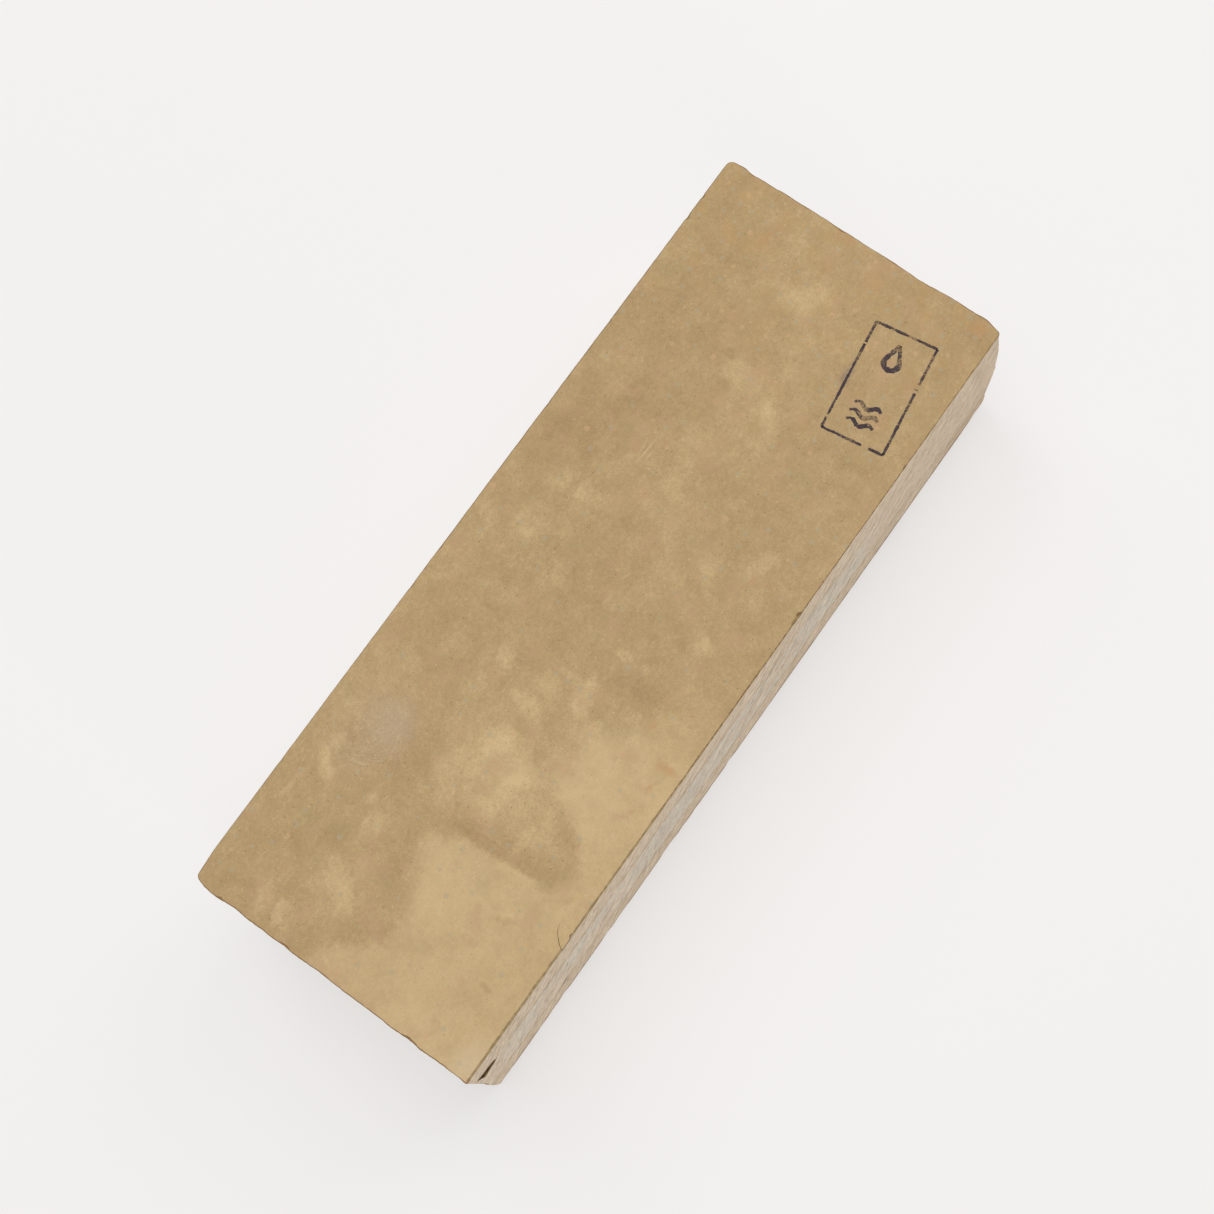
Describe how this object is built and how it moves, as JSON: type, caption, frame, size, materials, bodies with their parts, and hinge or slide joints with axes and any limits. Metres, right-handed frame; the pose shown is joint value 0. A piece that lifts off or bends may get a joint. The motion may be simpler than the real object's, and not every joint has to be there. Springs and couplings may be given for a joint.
{
  "type": "sharpening whetstone",
  "caption": "Natural bench whetstone: a thick block of fine stone with a flat honing face, sawn sides, broken ends and a worn ink stamp.",
  "frame": {"origin": "centre of the block's box, on the plane it rests on", "axes": "+X along the length towards the stamped end, -Y towards the sawn side with the open parting, +Z out of the honing face"},
  "size_m": [0.21, 0.0754, 0.06],
  "materials": {
    "honing_stone": "matte",
    "sawn_stone": "matte",
    "natural_rind": "matte",
    "stamp_ink": "matte"
  },
  "bodies": {
    "root": {"honing_bed": "honing_stone", "base_bed": "sawn_stone", "back_skin": "natural_rind", "edge_flake": "honing_stone", "ink_border": "stamp_ink", "ink_drop": "stamp_ink", "ink_waves": "stamp_ink"}
  },
  "joints": []
}
